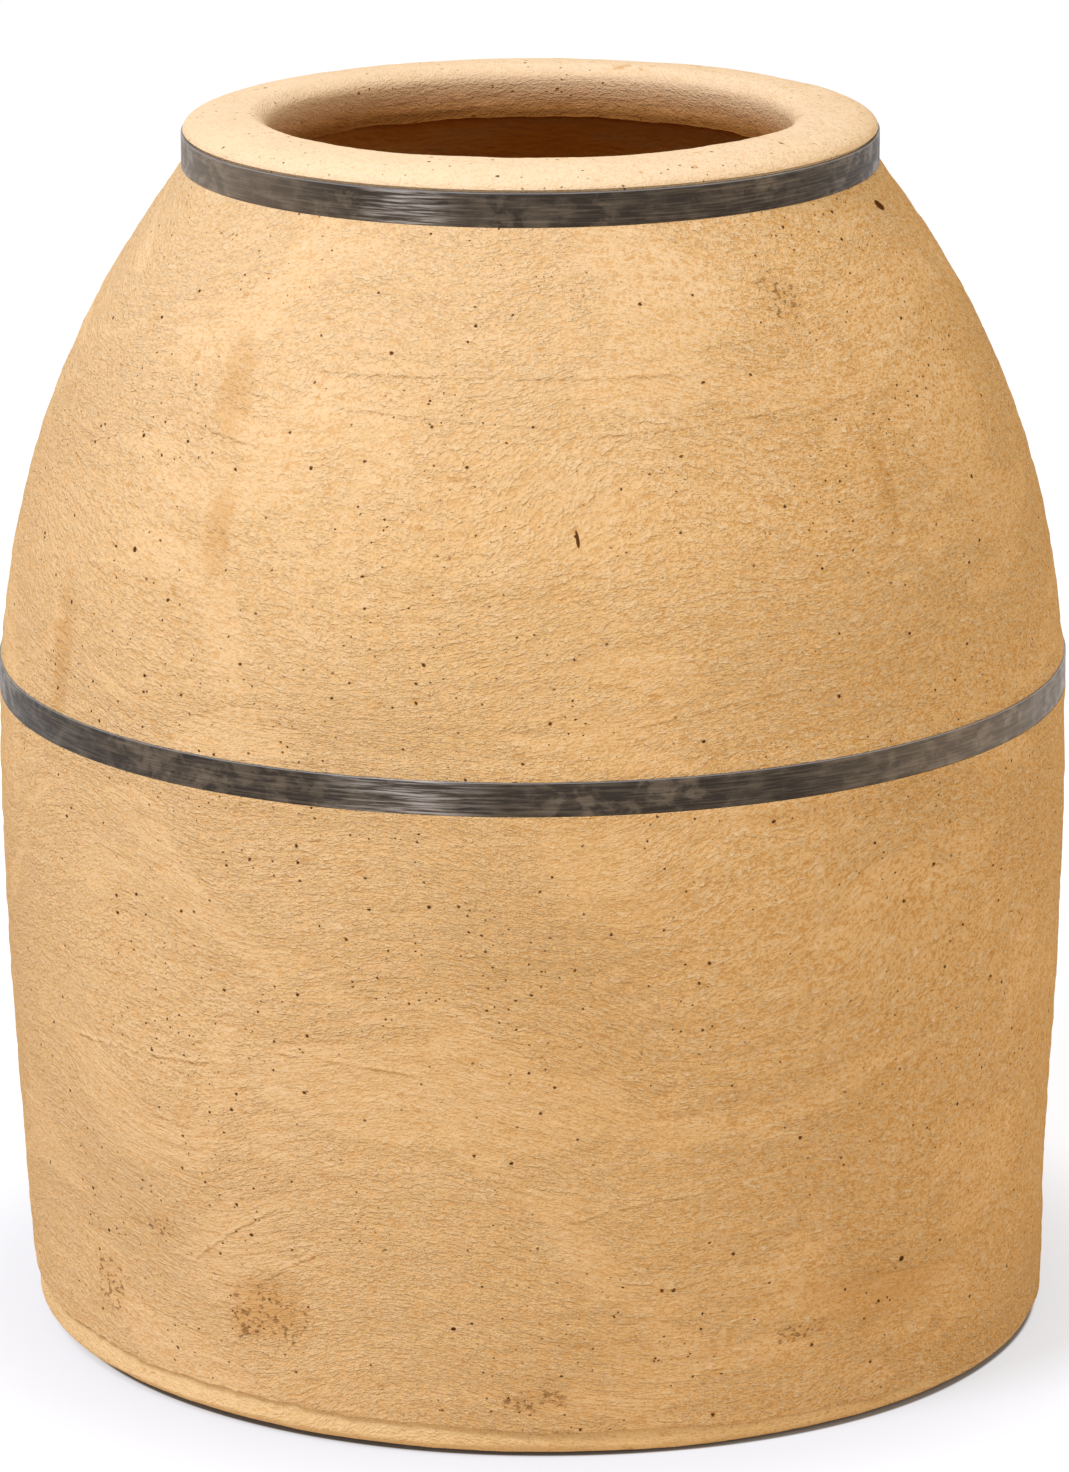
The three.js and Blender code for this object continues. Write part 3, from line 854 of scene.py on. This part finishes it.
def floor_material(name):
    """White studio floor: white to the camera but for the pot's shadow, partly real and partly painted near
    the foot, and a soft grey to the light.
    """
    material, sketch, place = new_material(name)
    bounce = sketch.node("ShaderNodeBsdfDiffuse", {"Color": (0.68, 0.58, 0.46, 1.0)})
    shade = sketch.node("ShaderNodeBsdfDiffuse", {"Color": (0.30, 0.31, 0.33, 1.0)})
    reach = place.reach()
    x = place.parts()[0]
    foot = SLAB_HIGH.x
    # Painted contact shadow: a dark line on the floor where the foot stands, further in at -X where the
    # foot is worn, further out at +X where it spreads.
    worn = x.ramp(-foot, 0.45 * foot, CONTACT_WORN, 0.0)
    spread = x.ramp(0.0, 0.8 * foot)
    from_edge = sketch.total((reach, 1.0), (worn, 1.0), (spread, -CONTACT_SPREAD))
    painted_contact_shadow = from_edge.ramp(foot + CONTACT, foot + CONTACT + CONTACT_FADE, 0.03, 1.0)
    # Painted soft shadow: the floor's glow is dimmer and bluer near the foot, brightening out to the
    # shadow's reach.
    strength = reach.ramp(foot, foot + SHADOW_REACH, 0.63, 0.81) * painted_contact_shadow
    far = reach.ramp(foot, foot + SHADOW_REACH)
    tint = sketch.mix(far, (0.945, 0.955, 1.0, 1.0), (0.98, 0.98, 1.0, 1.0))
    glow = sketch.node("ShaderNodeEmission", {"Color": tint, "Strength": strength})
    white = sketch.node("ShaderNodeAddShader", {0: shade, 1: glow})
    shader = seen_white(sketch, bounce, white, "Is Glossy Ray")
    sketch.node("ShaderNodeOutputMaterial", {"Surface": shader})
    return material


# ------------------------------------------------------------------ clay pieces
class TANDOOR_OT_floor_slab(bpy.types.Operator):
    """Add the floor slab, its raised middle the hearth"""

    bl_idname = "tandoor.floor_slab"
    bl_label = "Floor Slab"

    def execute(self, context):
        sizes, colours = context.scene.tandoor_sizes, context.scene.tandoor_colours
        foot_round, top_round = 0.009, 0.003
        edge = outer_radius(sizes, foot_round) - SLAB_RECESS
        shoulder, top = SLAB_SHOULDER, SLAB_HIGH.z
        hearth_edge = inner_radius(sizes, shoulder) - FIT
        outline = Outline(0.0, 0.0).to(edge - foot_round, 0, 0.02)
        outline.arc((edge - foot_round, foot_round), foot_round, foot_round, -90, 0)
        outline.to(edge, shoulder - top_round, SKIN_ROW)
        outline.arc((edge - top_round, shoulder - top_round), top_round, top_round, 0, 90)
        outline.to(hearth_edge, shoulder, 0.008).to(hearth_edge, top, 0.004).to(0, top, 0.012)
        slab = lathe("floor_slab", outline, SKIN_SIDES)
        press_skin(slab, sizes.skin_relief * 0.7, foot_waver)
        clay = clay_material("slab_clay", colours, colours.slab_clay, 0.6, 0.3, marked=False)
        darkened = dark_inside_clay("hearth_clay", colours)
        finish_piece(slab, "pot", "clay", ["hearth_floor"], clay, darkened)
        set_inside_faces(slab, lambda middle: middle.z > shoulder + 0.002)
        return {"FINISHED"}


class TANDOOR_OT_lower_course(bpy.types.Operator):
    """Add the lower course of the wall, with the vent and the rods' beds"""

    bl_idname = "tandoor.lower_course"
    bl_label = "Lower Course"

    def execute(self, context):
        sizes, colours = context.scene.tandoor_sizes, context.scene.tandoor_colours
        ledge, joint = BELLY_HOOP_LOW.z - HOOP_GAP, LOWER_HIGH.z
        seat = BELLY_HOOP_HIGH.x - sizes.hoop_thickness - FIT
        foot = SLAB_SHOULDER + FIT
        skirt_outer = outer_radius(sizes, LOWER_LOW.z)
        skirt_inner = skirt_outer - SLAB_RECESS + FIT
        skirt_round = (skirt_outer - skirt_inner) / 2
        round_high = LOWER_LOW.z + skirt_round
        joint_low = joint - JOINT_DROP
        outline = Outline(inner_radius(sizes, foot), foot)
        outline.to(skirt_inner, foot, 0.006).to(skirt_inner, round_high, SKIN_ROW)
        outline.arc((skirt_inner + skirt_round, round_high), skirt_round, skirt_round, -180, 0, 0.0007)
        outline.wall(outer_radius, sizes, round_high + SKIN_ROW, ledge, SKIN_ROW)
        outline.to(seat, ledge, 0.001).to(seat, joint, 0.003)
        outline.to(inner_radius(sizes, joint_low), joint_low, INSIDE_ROW)
        outline.wall(inner_radius, sizes, joint_low, foot, INSIDE_ROW)
        course = lathe("lower_course", outline, SKIN_SIDES)
        cut(course, self.rod_beds(), self.vent_bore(sizes))
        press_skin(course, sizes.skin_relief, seam_waver, calm=(ledge,), marked=True)
        clay = clay_material("wall_clay_lower", colours, colours.clay)
        darkened = dark_inside_clay("lower_inside_clay", colours)
        finish_piece(course, "pot", "clay", ["lower_wall"], clay, darkened)
        depth = sizes.foot_wall * 0.6
        set_inside_faces(course, lambda middle: middle.xy.length < outer_radius(sizes, middle.z) - depth)
        return {"FINISHED"}

    def rod_beds(self):
        """Sockets a little larger than the rods, joined into one cutter."""
        tools = []
        for node in ROD_NODES:
            low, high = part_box(node)
            bpy.ops.mesh.primitive_cylinder_add(
                vertices=24,
                radius=(high.z - low.z) / 2 + FIT,
                depth=high.y - low.y + 2 * FIT,
                location=(low + high) / 2,
                rotation=(math.pi / 2, 0, 0),
            )
            tools.append(bpy.context.object)
        select_only(*tools)
        bpy.ops.object.join()
        settle(tools[0])
        return tools[0]

    def vent_bore(self, sizes):
        """A tapered bore whose outer edge is rubbed round."""
        inner_end = inner_radius(sizes, STOPPER_HEIGHT) - 0.04
        outer = outer_radius(sizes, STOPPER_HEIGHT)
        radius, flare, rub = 0.034, 0.005, 0.007
        rim = radius + flare + rub
        outline = Outline(0, inner_end).to(radius - flare, inner_end, 0.01)
        outline.to(radius + flare, outer - rub, 0.004).arc((rim, outer - rub), rub, rub, 180, 90)
        outline.to(rim, outer + 0.03, 0.006).to(0, outer + 0.03, 0.01)
        bore = lathe("vent_bore", outline, 72)
        put(bore, (0, 0, STOPPER_HEIGHT), -math.pi / 2, 0, 0)
        return bore


class TANDOOR_OT_upper_course(bpy.types.Operator):
    """Add the upper course of the wall, the shoulder"""

    bl_idname = "tandoor.upper_course"
    bl_label = "Upper Course"

    def execute(self, context):
        sizes, colours = context.scene.tandoor_sizes, context.scene.tandoor_colours
        belly_seat, neck_seat = BELLY_HOOP_HIGH.x - sizes.hoop_thickness - FIT, RING_HIGH.x
        belly_joint, neck_joint = LOWER_HIGH.z + FIT, UPPER_HIGH.z
        hoop_top, neck_ledge = BELLY_HOOP_HIGH.z + HOOP_GAP, NECK_HOOP_LOW.z - HOOP_GAP
        low, neck_low = UPPER_LOW.z, neck_joint - JOINT_DROP
        outline = Outline(inner_radius(sizes, low), low)
        outline.to(belly_seat, belly_joint, INSIDE_ROW).to(belly_seat, hoop_top, 0.003)
        outline.wall(outer_radius, sizes, hoop_top, neck_ledge, SKIN_ROW)
        outline.to(neck_seat, neck_ledge, 0.001).to(neck_seat, neck_joint, 0.003)
        outline.to(inner_radius(sizes, neck_low), neck_low + 0.003, 0.006)
        outline.wall(inner_radius, sizes, neck_low - 0.004, low, INSIDE_ROW * 0.7)
        course = lathe("upper_course", outline, SKIN_SIDES)
        press_skin(course, sizes.skin_relief, calm=(hoop_top, neck_ledge), marked=True)
        clay = clay_material("wall_clay_upper", colours, colours.clay)
        darkened = dark_inside_clay("upper_inside_clay", colours)
        finish_piece(course, "pot", "clay", ["upper_wall"], clay, darkened)
        depth, top = sizes.neck_wall * 0.6, neck_low + 0.004

        def is_inside(middle):
            return middle.xy.length < outer_radius(sizes, middle.z) - depth and middle.z < top

        set_inside_faces(course, is_inside)
        return {"FINISHED"}


class TANDOOR_OT_mouth_ring(bpy.types.Operator):
    """Add the rolled lip around the mouth"""

    bl_idname = "tandoor.mouth_ring"
    bl_label = "Mouth Ring"

    def execute(self, context):
        sizes, colours = context.scene.tandoor_sizes, context.scene.tandoor_colours
        seat, joint, flare = RING_HIGH.x, UPPER_HIGH.z + FIT, 0.003
        inner_low = (sizes.mouth_radius + flare, RING_LOW.z)
        crest = sizes.mouth_radius + sizes.lip_crest
        outer_low = sizes.height - sizes.lip_outer_round
        inner_high = sizes.height - sizes.lip_inner_round
        outline = Outline(*inner_low).to(seat, joint, 0.004).to(seat, outer_low, 0.0025)
        outline.arc((crest, outer_low), seat - crest, sizes.lip_outer_round, 0, 90, power=3.0)
        outline.arc((crest, inner_high), sizes.lip_crest, sizes.lip_inner_round, 90, 180)
        outline.to(*inner_low, 0.0015)
        ring = lathe("mouth_ring_clay", outline, LIP_SIDES)
        press_skin(ring, sizes.skin_relief * 0.9, ring_waver, calm=(NECK_HOOP_HIGH.z,))
        clay = clay_material("lip_clay", colours, colours.pale_clay, 0.42, 0.9, marked=False, darkened=True)
        finish_piece(ring, "pot", "pale_clay", ["mouth_ring"], clay)
        return {"FINISHED"}


class TANDOOR_OT_vent_stopper(bpy.types.Operator):
    """Add the clay stopper with its knob"""

    bl_idname = "tandoor.vent_stopper"
    bl_label = "Vent Stopper"

    def execute(self, context):
        colours = context.scene.tandoor_colours
        plug_end, knob_end = STOPPER_LOW.y, STOPPER_HIGH.y
        knob_radius, neck_radius, knob_length = 0.019, 0.011, 0.036
        face, face_radius = knob_end - knob_length, (STOPPER_HIGH.x - STOPPER_LOW.x) / 2
        plug_radius = face_radius - 0.0042
        edge, hollow = 0.003, 0.006
        neck_edge = neck_radius + hollow
        outline = Outline(0, plug_end).to(plug_radius - edge, plug_end, 0.002)
        outline.arc((plug_radius - edge, plug_end + edge), edge, edge, -90, 0)
        outline.to(face_radius, face - edge, 0.002)
        outline.arc((face_radius - edge, face - edge), edge, edge, 0, 90).to(neck_edge, face, 0.002)
        outline.arc((neck_edge, face + hollow), hollow, hollow, 270, 180)
        outline.arc((0, knob_end - knob_radius / 2), knob_radius, knob_radius / 2, -50, 90)
        stopper = lathe("stopper_clay", outline, 120)
        put(stopper, (0, 0, STOPPER_HEIGHT), -math.pi / 2, 0, 0)
        press_skin(stopper, 0.0010)
        clay = clay_material("stopper_skin", colours, colours.clay, 0.8, 0.8, marked=False)
        finish_piece(stopper, "stopper", "clay", ["vent_stopper"], clay)
        return {"FINISHED"}


# ------------------------------------------------------------------ steel and iron pieces
def lapped_path(inner, low, thickness):
    """Points along the inner face of a hoop, its two ends lapped at the back."""
    lap, joggle = LAP_LENGTH / inner, JOGGLE_LENGTH / inner
    start = math.pi - lap / 2
    over_start = start + 2 * math.pi
    end = over_start + lap
    count = round((end - start) / HOOP_STEP)
    points = []
    for i in range(count + 1):
        angle = start + (end - start) * i / count
        share = min(max((angle - over_start + joggle) / joggle, 0.0), 1.0)
        radius = inner + share * share * (3 - 2 * share) * (thickness + FIT)
        points.append((radius * math.sin(angle), -radius * math.cos(angle), low))
    return points


def put_on_hoop(piece, inner, angle, height):
    """Turns a piece that stands on +Z to stand out of the hoop at an angle from the front."""
    put(piece, (inner * math.sin(angle), -inner * math.cos(angle), height), math.pi / 2, 0, angle)


class TANDOOR_OT_hoops(bpy.types.Operator):
    """Add the two lapped steel hoops and their rivets"""

    bl_idname = "tandoor.hoops"
    bl_label = "Hoops and Rivets"

    def execute(self, context):
        sizes, colours = context.scene.tandoor_sizes, context.scene.tandoor_colours
        thickness = sizes.hoop_thickness
        # Each hoop: its name, its box, the angle of its painted shine and its paler side.
        for name, low, high, shine, paler_side in (
            ("belly_hoop", BELLY_HOOP_LOW, BELLY_HOOP_HIGH, -13, 1),
            ("neck_hoop", NECK_HOOP_LOW, NECK_HOOP_HIGH, -20, -1),
        ):
            steel = hoop_material(name + "_steel", colours, high, shine, paler_side)
            inner, middle = high.x - thickness, (low.z + high.z) / 2
            strip = draw(name + "_strip", lapped_path(inner, low.z, thickness))
            edit(strip)
            bpy.ops.mesh.extrude_region_move(TRANSFORM_OT_translate={"value": (0, 0, high.z - low.z)})
            leave_edit()
            apply(strip, "SOLIDIFY", thickness=thickness, offset=1, use_even_offset=True)
            clean(strip)
            half = RIVET_SPACING / 2 / inner
            angles = (math.pi - half, math.pi + half)
            cut(strip, *[self.rivet_hole(inner, angle, middle) for angle in angles])
            sharp = {"limit_method": "ANGLE", "angle_limit": math.radians(50)}
            apply(strip, "BEVEL", width=0.0004, segments=3, **sharp)
            finish_piece(strip, "pot", "hoop_steel", [name], steel, smooth_angle=30)
            for i, angle in enumerate(angles, 1):
                rivet = self.rivet(f"{name}_rivet_head_{i}", thickness)
                put_on_hoop(rivet, inner, angle, middle)
                finish_piece(rivet, "pot", "hoop_steel", [f"{name}_rivet_{i}"], steel)
        return {"FINISHED"}

    def rivet_hole(self, inner, angle, middle):
        bpy.ops.object.select_all(action="DESELECT")
        bpy.ops.mesh.primitive_cylinder_add(vertices=32, radius=0.0028 + FIT, depth=0.04)
        hole = bpy.context.object
        put_on_hoop(hole, inner, angle, middle)
        return hole

    def rivet(self, name, thickness):
        shank, head, rise, edge = 0.0025, 0.0050, 0.0027, 0.0003
        grip = 2 * thickness + 2 * FIT
        outline = Outline(0, 0.0002).to(shank, 0.0002, 0.0008).to(shank, grip, 0.0008)
        outline.to(head - edge, grip, 0.0006).arc((0, grip + edge), head, rise, 0, 90, 0.0004)
        return lathe(name, outline, 40)


class TANDOOR_OT_grate_rods(bpy.types.Operator):
    """Add the iron rods of the fire grate"""

    bl_idname = "tandoor.grate_rods"
    bl_label = "Grate Rods"

    def execute(self, context):
        iron = iron_material("grate_iron_scale", context.scene.tandoor_colours)
        edge = 0.001
        for node in ROD_NODES:
            low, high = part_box(node)
            radius, half = (high.z - low.z) / 2 - 0.0001, (high.y - low.y) / 2 - 0.0002
            outline = Outline(0, -half).to(radius - edge, -half, 0.002).to(radius, edge - half, 0.002)
            outline.to(radius, half - edge, 0.004).to(radius - edge, half, 0.002).to(0, half, 0.002)
            rod = lathe(node + "_bar", outline, 28)
            put(rod, (low + high) / 2, math.pi / 2, 0, 0)
            press_skin(rod, 0.0006)
            finish_piece(rod, "pot", "grate_iron", [node], iron)
        return {"FINISHED"}


# ------------------------------------------------------------------ stage
class TANDOOR_OT_stage(bpy.types.Operator):
    """Add the white floor, the camera and the lamps"""

    bl_idname = "tandoor.stage"
    bl_label = "Studio Stage"

    def execute(self, context):
        scene, studio = context.scene, context.scene.tandoor_studio
        scene.view_settings.view_transform = "Standard"
        self.white_world(scene)

        bpy.ops.object.select_all(action="DESELECT")
        bpy.ops.mesh.primitive_plane_add(size=60, location=(0, 0, 0))
        floor = context.object
        floor.name = "studio_floor"
        floor.data.materials.append(floor_material("studio_white"))

        bpy.ops.object.camera_add(location=(0.001, -studio.camera_distance, studio.camera_height))
        camera = context.object
        pitch = studio.camera_pitch
        look = Vector((0, math.cos(pitch), -math.sin(pitch)))
        turn = look.to_track_quat("-Z", "Y") @ Quaternion((0, 0, 1), -studio.camera_roll)
        camera.rotation_euler = turn.to_euler()
        camera.data.lens = studio.focal_length
        camera.data.clip_end = 100
        scene.camera = camera

        self.lamp("key", (-2.3, -2.3, 4.2), 1.4, 153, (0.93, 1.0, 1.16))
        self.lamp("fill", (3.4, -1.2, 1.5), 2.4, 22, (1.0, 0.88, 0.70))
        return {"FINISHED"}

    def white_world(self, scene):
        """A world that lights softly and that the camera and polished steel see as white."""
        world = bpy.data.worlds.new("studio_world")
        scene.world = world
        world.use_nodes = True
        sketch = Sketch(world.node_tree)
        soft = sketch.node("ShaderNodeBackground", {"Color": (1.0, 0.91, 0.78, 1.0), "Strength": 0.68})
        white = sketch.node("ShaderNodeBackground", {"Color": (1, 1, 1, 1), "Strength": 1.0})
        mixed = seen_white(sketch, soft, white, "Is Transmission Ray", "Is Glossy Ray")
        sketch.node("ShaderNodeOutputWorld", {"Surface": mixed})

    def lamp(self, name, place, size, power, colour):
        """A square soft box that faces the pot's middle."""
        turn = (Vector(LAMP_AIM) - Vector(place)).to_track_quat("-Z", "Y").to_euler()
        bpy.ops.object.light_add(type="AREA", location=place, rotation=turn)
        lamp = bpy.context.object
        lamp.name = name + "_softbox"
        lamp.data.size = size
        lamp.data.energy = power
        lamp.data.color = colour


# ------------------------------------------------------------------ panel and registration
STEPS = (
    TANDOOR_OT_floor_slab,
    TANDOOR_OT_lower_course,
    TANDOOR_OT_upper_course,
    TANDOOR_OT_mouth_ring,
    TANDOOR_OT_hoops,
    TANDOOR_OT_grate_rods,
    TANDOOR_OT_vent_stopper,
    TANDOOR_OT_stage,
)
GROUPS = {
    "tandoor_sizes": TandoorSizes,
    "tandoor_colours": TandoorColours,
    "tandoor_studio": TandoorStudio,
}


class TANDOOR_PT_panel(bpy.types.Panel):
    """Sizes, colours and the building steps"""

    bl_idname = "TANDOOR_PT_panel"
    bl_label = "Clay Tandoor Oven"
    bl_space_type = "VIEW_3D"
    bl_region_type = "UI"
    bl_category = "Tandoor"

    def draw(self, context):
        for group_name, kind in GROUPS.items():
            column = self.layout.column(align=True)
            for name in kind.__annotations__:
                column.prop(getattr(context.scene, group_name), name)
        steps = self.layout.column(align=True)
        for step in STEPS:
            steps.operator(step.bl_idname)


CLASSES = (*GROUPS.values(), *STEPS, TANDOOR_PT_panel)


def register():
    for kind in CLASSES:
        bpy.utils.register_class(kind)
    for name, group in GROUPS.items():
        setattr(bpy.types.Scene, name, PointerProperty(type=group))


def unregister():
    for name in GROUPS:
        delattr(bpy.types.Scene, name)
    for kind in reversed(CLASSES):
        bpy.utils.unregister_class(kind)


def main():
    register()
    bpy.ops.tandoor.floor_slab()
    bpy.ops.tandoor.lower_course()
    bpy.ops.tandoor.upper_course()
    bpy.ops.tandoor.mouth_ring()
    bpy.ops.tandoor.hoops()
    bpy.ops.tandoor.grate_rods()
    bpy.ops.tandoor.vent_stopper()
    bpy.ops.tandoor.stage()


if __name__ == "__main__":
    main()
